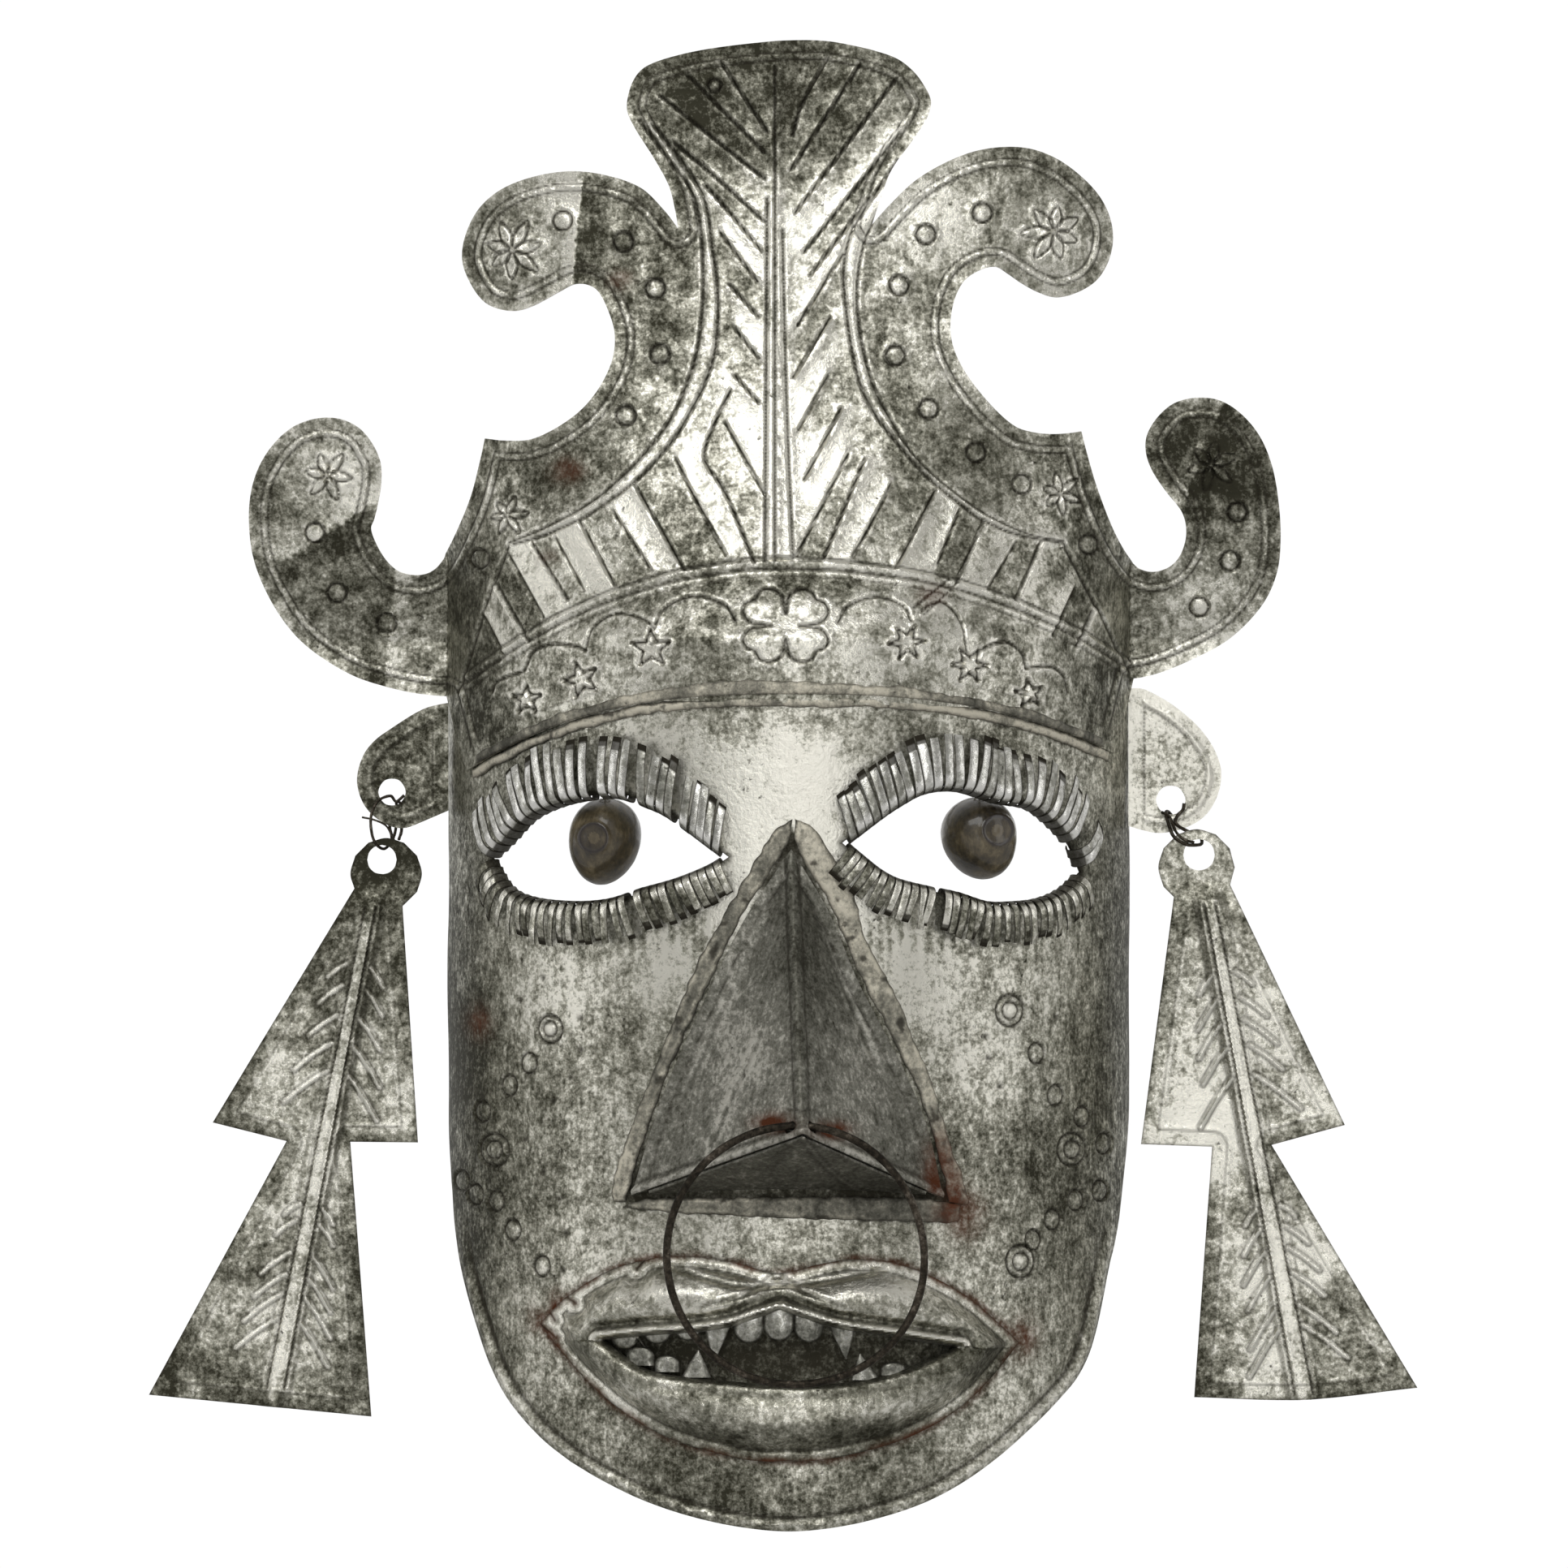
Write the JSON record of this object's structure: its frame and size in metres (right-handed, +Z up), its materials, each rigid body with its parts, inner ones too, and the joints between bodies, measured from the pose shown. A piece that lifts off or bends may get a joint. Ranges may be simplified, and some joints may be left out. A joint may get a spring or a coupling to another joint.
{
  "type": "folk art wall mask",
  "caption": "Wall mask of beaten tin: half-round face with a tall embossed crown, soldered pyramid nose, bared teeth, seed eyes, a nose ring and hanging earrings.",
  "frame": {"origin": "middle of the hanger strap's rear face, on the wall plane behind the brow", "axes": "+Z up, -Y out of the face towards the viewer, +X to the viewer's right; the wall is the plane y = 0"},
  "size_m": [0.362, 0.122, 0.422],
  "materials": {
    "tin": "tarnished tinned sheet, mottled",
    "embossed_tin": "tarnished tinned sheet, hand embossed",
    "bright_tin": "bright cut tin",
    "solder": "dull soft solder",
    "iron_wire": "oxidised iron wire",
    "seed": "glossy natural seed"
  },
  "bodies": {
    "mask": {"face_shell": "tin", "chin_rim": "tin", "hanger_strap": "tin", "ear_left": "tin", "ear_right": "tin", "crown_sheet": "embossed_tin", "forehead_seam": "solder", "nose_bridge": "tin", "nose_base": "tin", "nose_seam_left": "solder", "nose_seam_right": "solder", "nose_seam_bottom": "solder", "mouth_plate": "tin", "teeth_upper": "bright_tin", "teeth_lower": "bright_tin", "lashes_upper_left": "bright_tin", "lashes_lower_left": "bright_tin", "lashes_upper_right": "bright_tin", "lashes_lower_right": "bright_tin", "eye_tab_left": "tin", "eye_tab_right": "tin"},
    "ring": {"nose_ring": "iron_wire"},
    "link_left": {"ear_link_left": "iron_wire"},
    "link_right": {"ear_link_right": "iron_wire"},
    "pendant_left": {"earring_left": "embossed_tin"},
    "pendant_right": {"earring_right": "embossed_tin"},
    "eye_hook_left": {"eye_wire_left": "iron_wire"},
    "eye_hook_right": {"eye_wire_right": "iron_wire"},
    "eye_left": {"eye_seed_left": "seed"},
    "eye_right": {"eye_seed_right": "seed"}
  },
  "joints": [
    {"name": "nose_ring_swing", "type": "hinge", "parent": "mask", "child": "ring", "pos_m": [0.0018, -0.1175, -0.1264], "axis": [1, 0, 0], "range_deg": [-95, 15]},
    {"name": "link_left_swing", "type": "hinge", "parent": "mask", "child": "link_left", "pos_m": [-0.1134, -0.0136, -0.0353], "axis": [0, 1, 0], "range_deg": [-4, 25]},
    {"name": "link_right_swing", "type": "hinge", "parent": "mask", "child": "link_right", "pos_m": [0.109, -0.0136, -0.0379], "axis": [0, 1, 0], "range_deg": [-25, 1.5]},
    {"name": "earring_left_flap", "type": "hinge", "parent": "link_left", "child": "pendant_left", "pos_m": [-0.1162, -0.0177, -0.0487], "axis": [1, 0, 0], "range_deg": [-35, 5]},
    {"name": "earring_right_flap", "type": "hinge", "parent": "link_right", "child": "pendant_right", "pos_m": [0.117, -0.0177, -0.047], "axis": [1, 0, 0], "range_deg": [-35, 5]},
    {"name": "eye_left_swing", "type": "hinge", "parent": "mask", "child": "eye_hook_left", "pos_m": [-0.0523, -0.065, -0.0282], "axis": [1, 0, 0], "range_deg": [-5, 30]},
    {"name": "eye_right_swing", "type": "hinge", "parent": "mask", "child": "eye_hook_right", "pos_m": [0.054, -0.065, -0.0282], "axis": [1, 0, 0], "range_deg": [-5, 30]},
    {"name": "eye_left_twist", "type": "hinge", "parent": "eye_hook_left", "child": "eye_left", "pos_m": [-0.0523, -0.065, -0.0465], "axis": [0, 0, 1], "range_deg": [-90, 90]},
    {"name": "eye_right_twist", "type": "hinge", "parent": "eye_hook_right", "child": "eye_right", "pos_m": [0.054, -0.065, -0.0456], "axis": [0, 0, 1], "range_deg": [-90, 90]}
  ]
}
